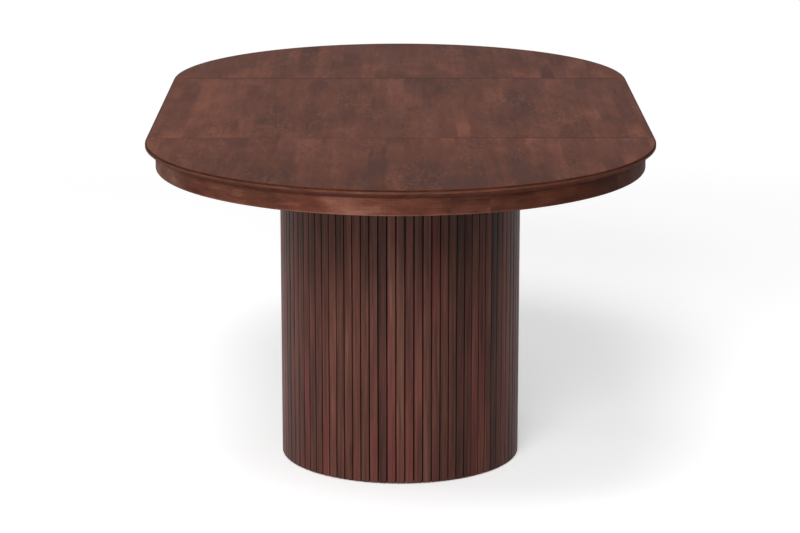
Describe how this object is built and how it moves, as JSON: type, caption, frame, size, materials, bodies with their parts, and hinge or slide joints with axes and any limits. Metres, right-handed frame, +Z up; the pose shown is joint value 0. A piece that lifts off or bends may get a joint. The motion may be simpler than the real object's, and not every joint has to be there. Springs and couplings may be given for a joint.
{
  "type": "extending dining table",
  "caption": "Extending dining table with two semicircular halves and a loose leaf on geared runners, carried by a round drum pedestal clad in flat vertical slats.",
  "frame": {"origin": "on the floor under the middle of the drum", "axes": "+Z up, +Y along the direction in which the table extends, +X across it"},
  "size_m": [1, 1.7006, 0.745],
  "materials": {
    "top_veneer": "walnut-stained veneer, satin lacquer",
    "apron_wood": "walnut-stained wood, satin lacquer",
    "slat_wood": "walnut-stained wood, satin lacquer",
    "stained_core": "dark-stained bent plywood, matt",
    "plywood": "bare plywood",
    "softwood": "planed softwood",
    "beech": "waxed beech",
    "nylon": "moulded nylon",
    "steel": "zinc-plated"
  },
  "bodies": {
    "pedestal": {"glides": "nylon", "base_plate": "plywood", "ballast_plate": "steel", "ballast_screws": "steel", "lower_studs": "softwood", "middle_ring": "plywood", "upper_studs": "softwood", "drum_core": "stained_core", "drum_slats": "slat_wood", "top_plate": "plywood", "plate_screws": "steel", "centre_rail_left": "beech", "centre_rail_right": "beech", "rail_screws": "steel", "pinion_axle": "steel", "axle_nut": "steel", "pinion_washer": "nylon", "rack_guides": "nylon", "rack_guide_screws": "steel", "stop_dogs": "steel", "stop_dog_screws": "steel"},
    "pinion": {"pinion": "nylon"},
    "front_half": {"front_top": "top_veneer", "front_apron": "apron_wood", "front_apron_blocks": "softwood", "front_runner_left": "beech", "front_runner_right": "beech", "front_runner_screws": "steel", "front_stop_pins": "steel", "front_cross_batten": "softwood", "front_batten_screws": "steel", "front_rack": "nylon"},
    "rear_half": {"rear_top": "top_veneer", "rear_apron": "apron_wood", "rear_apron_blocks": "softwood", "rear_runner_left": "beech", "rear_runner_right": "beech", "rear_runner_screws": "steel", "rear_stop_pins": "steel", "rear_cross_batten": "softwood", "rear_batten_screws": "steel", "rear_rack": "nylon"},
    "leaf": {"leaf_top": "top_veneer", "leaf_apron_left": "apron_wood", "leaf_apron_right": "apron_wood", "leaf_batten_left": "softwood", "leaf_batten_right": "softwood", "leaf_batten_screws": "steel", "leaf_apron_blocks": "softwood", "leaf_pegs": "beech"}
  },
  "joints": [
    {"name": "front_slide", "type": "slide", "parent": "pedestal", "child": "front_half", "axis": [0, -1, 0], "range_m": [0, 0.045]},
    {"name": "rear_slide", "type": "slide", "parent": "pedestal", "child": "rear_half", "axis": [0, 1, 0], "range_m": [0, 0.045]},
    {"name": "pinion_spin", "type": "hinge", "parent": "pedestal", "child": "pinion", "pos_m": [0, 0, 0.7015], "axis": [0, 0, 1], "range_deg": [0, 95.5]},
    {"name": "leaf_lift", "type": "slide", "parent": "pedestal", "child": "leaf", "axis": [0, 0, 1], "range_m": [0, 0.2]}
  ],
  "couplings": [
    {"joint": "rear_slide", "follows": "front_slide", "ratio": 1},
    {"joint": "pinion_spin", "follows": "front_slide", "rad_per_m": 37.037}
  ]
}
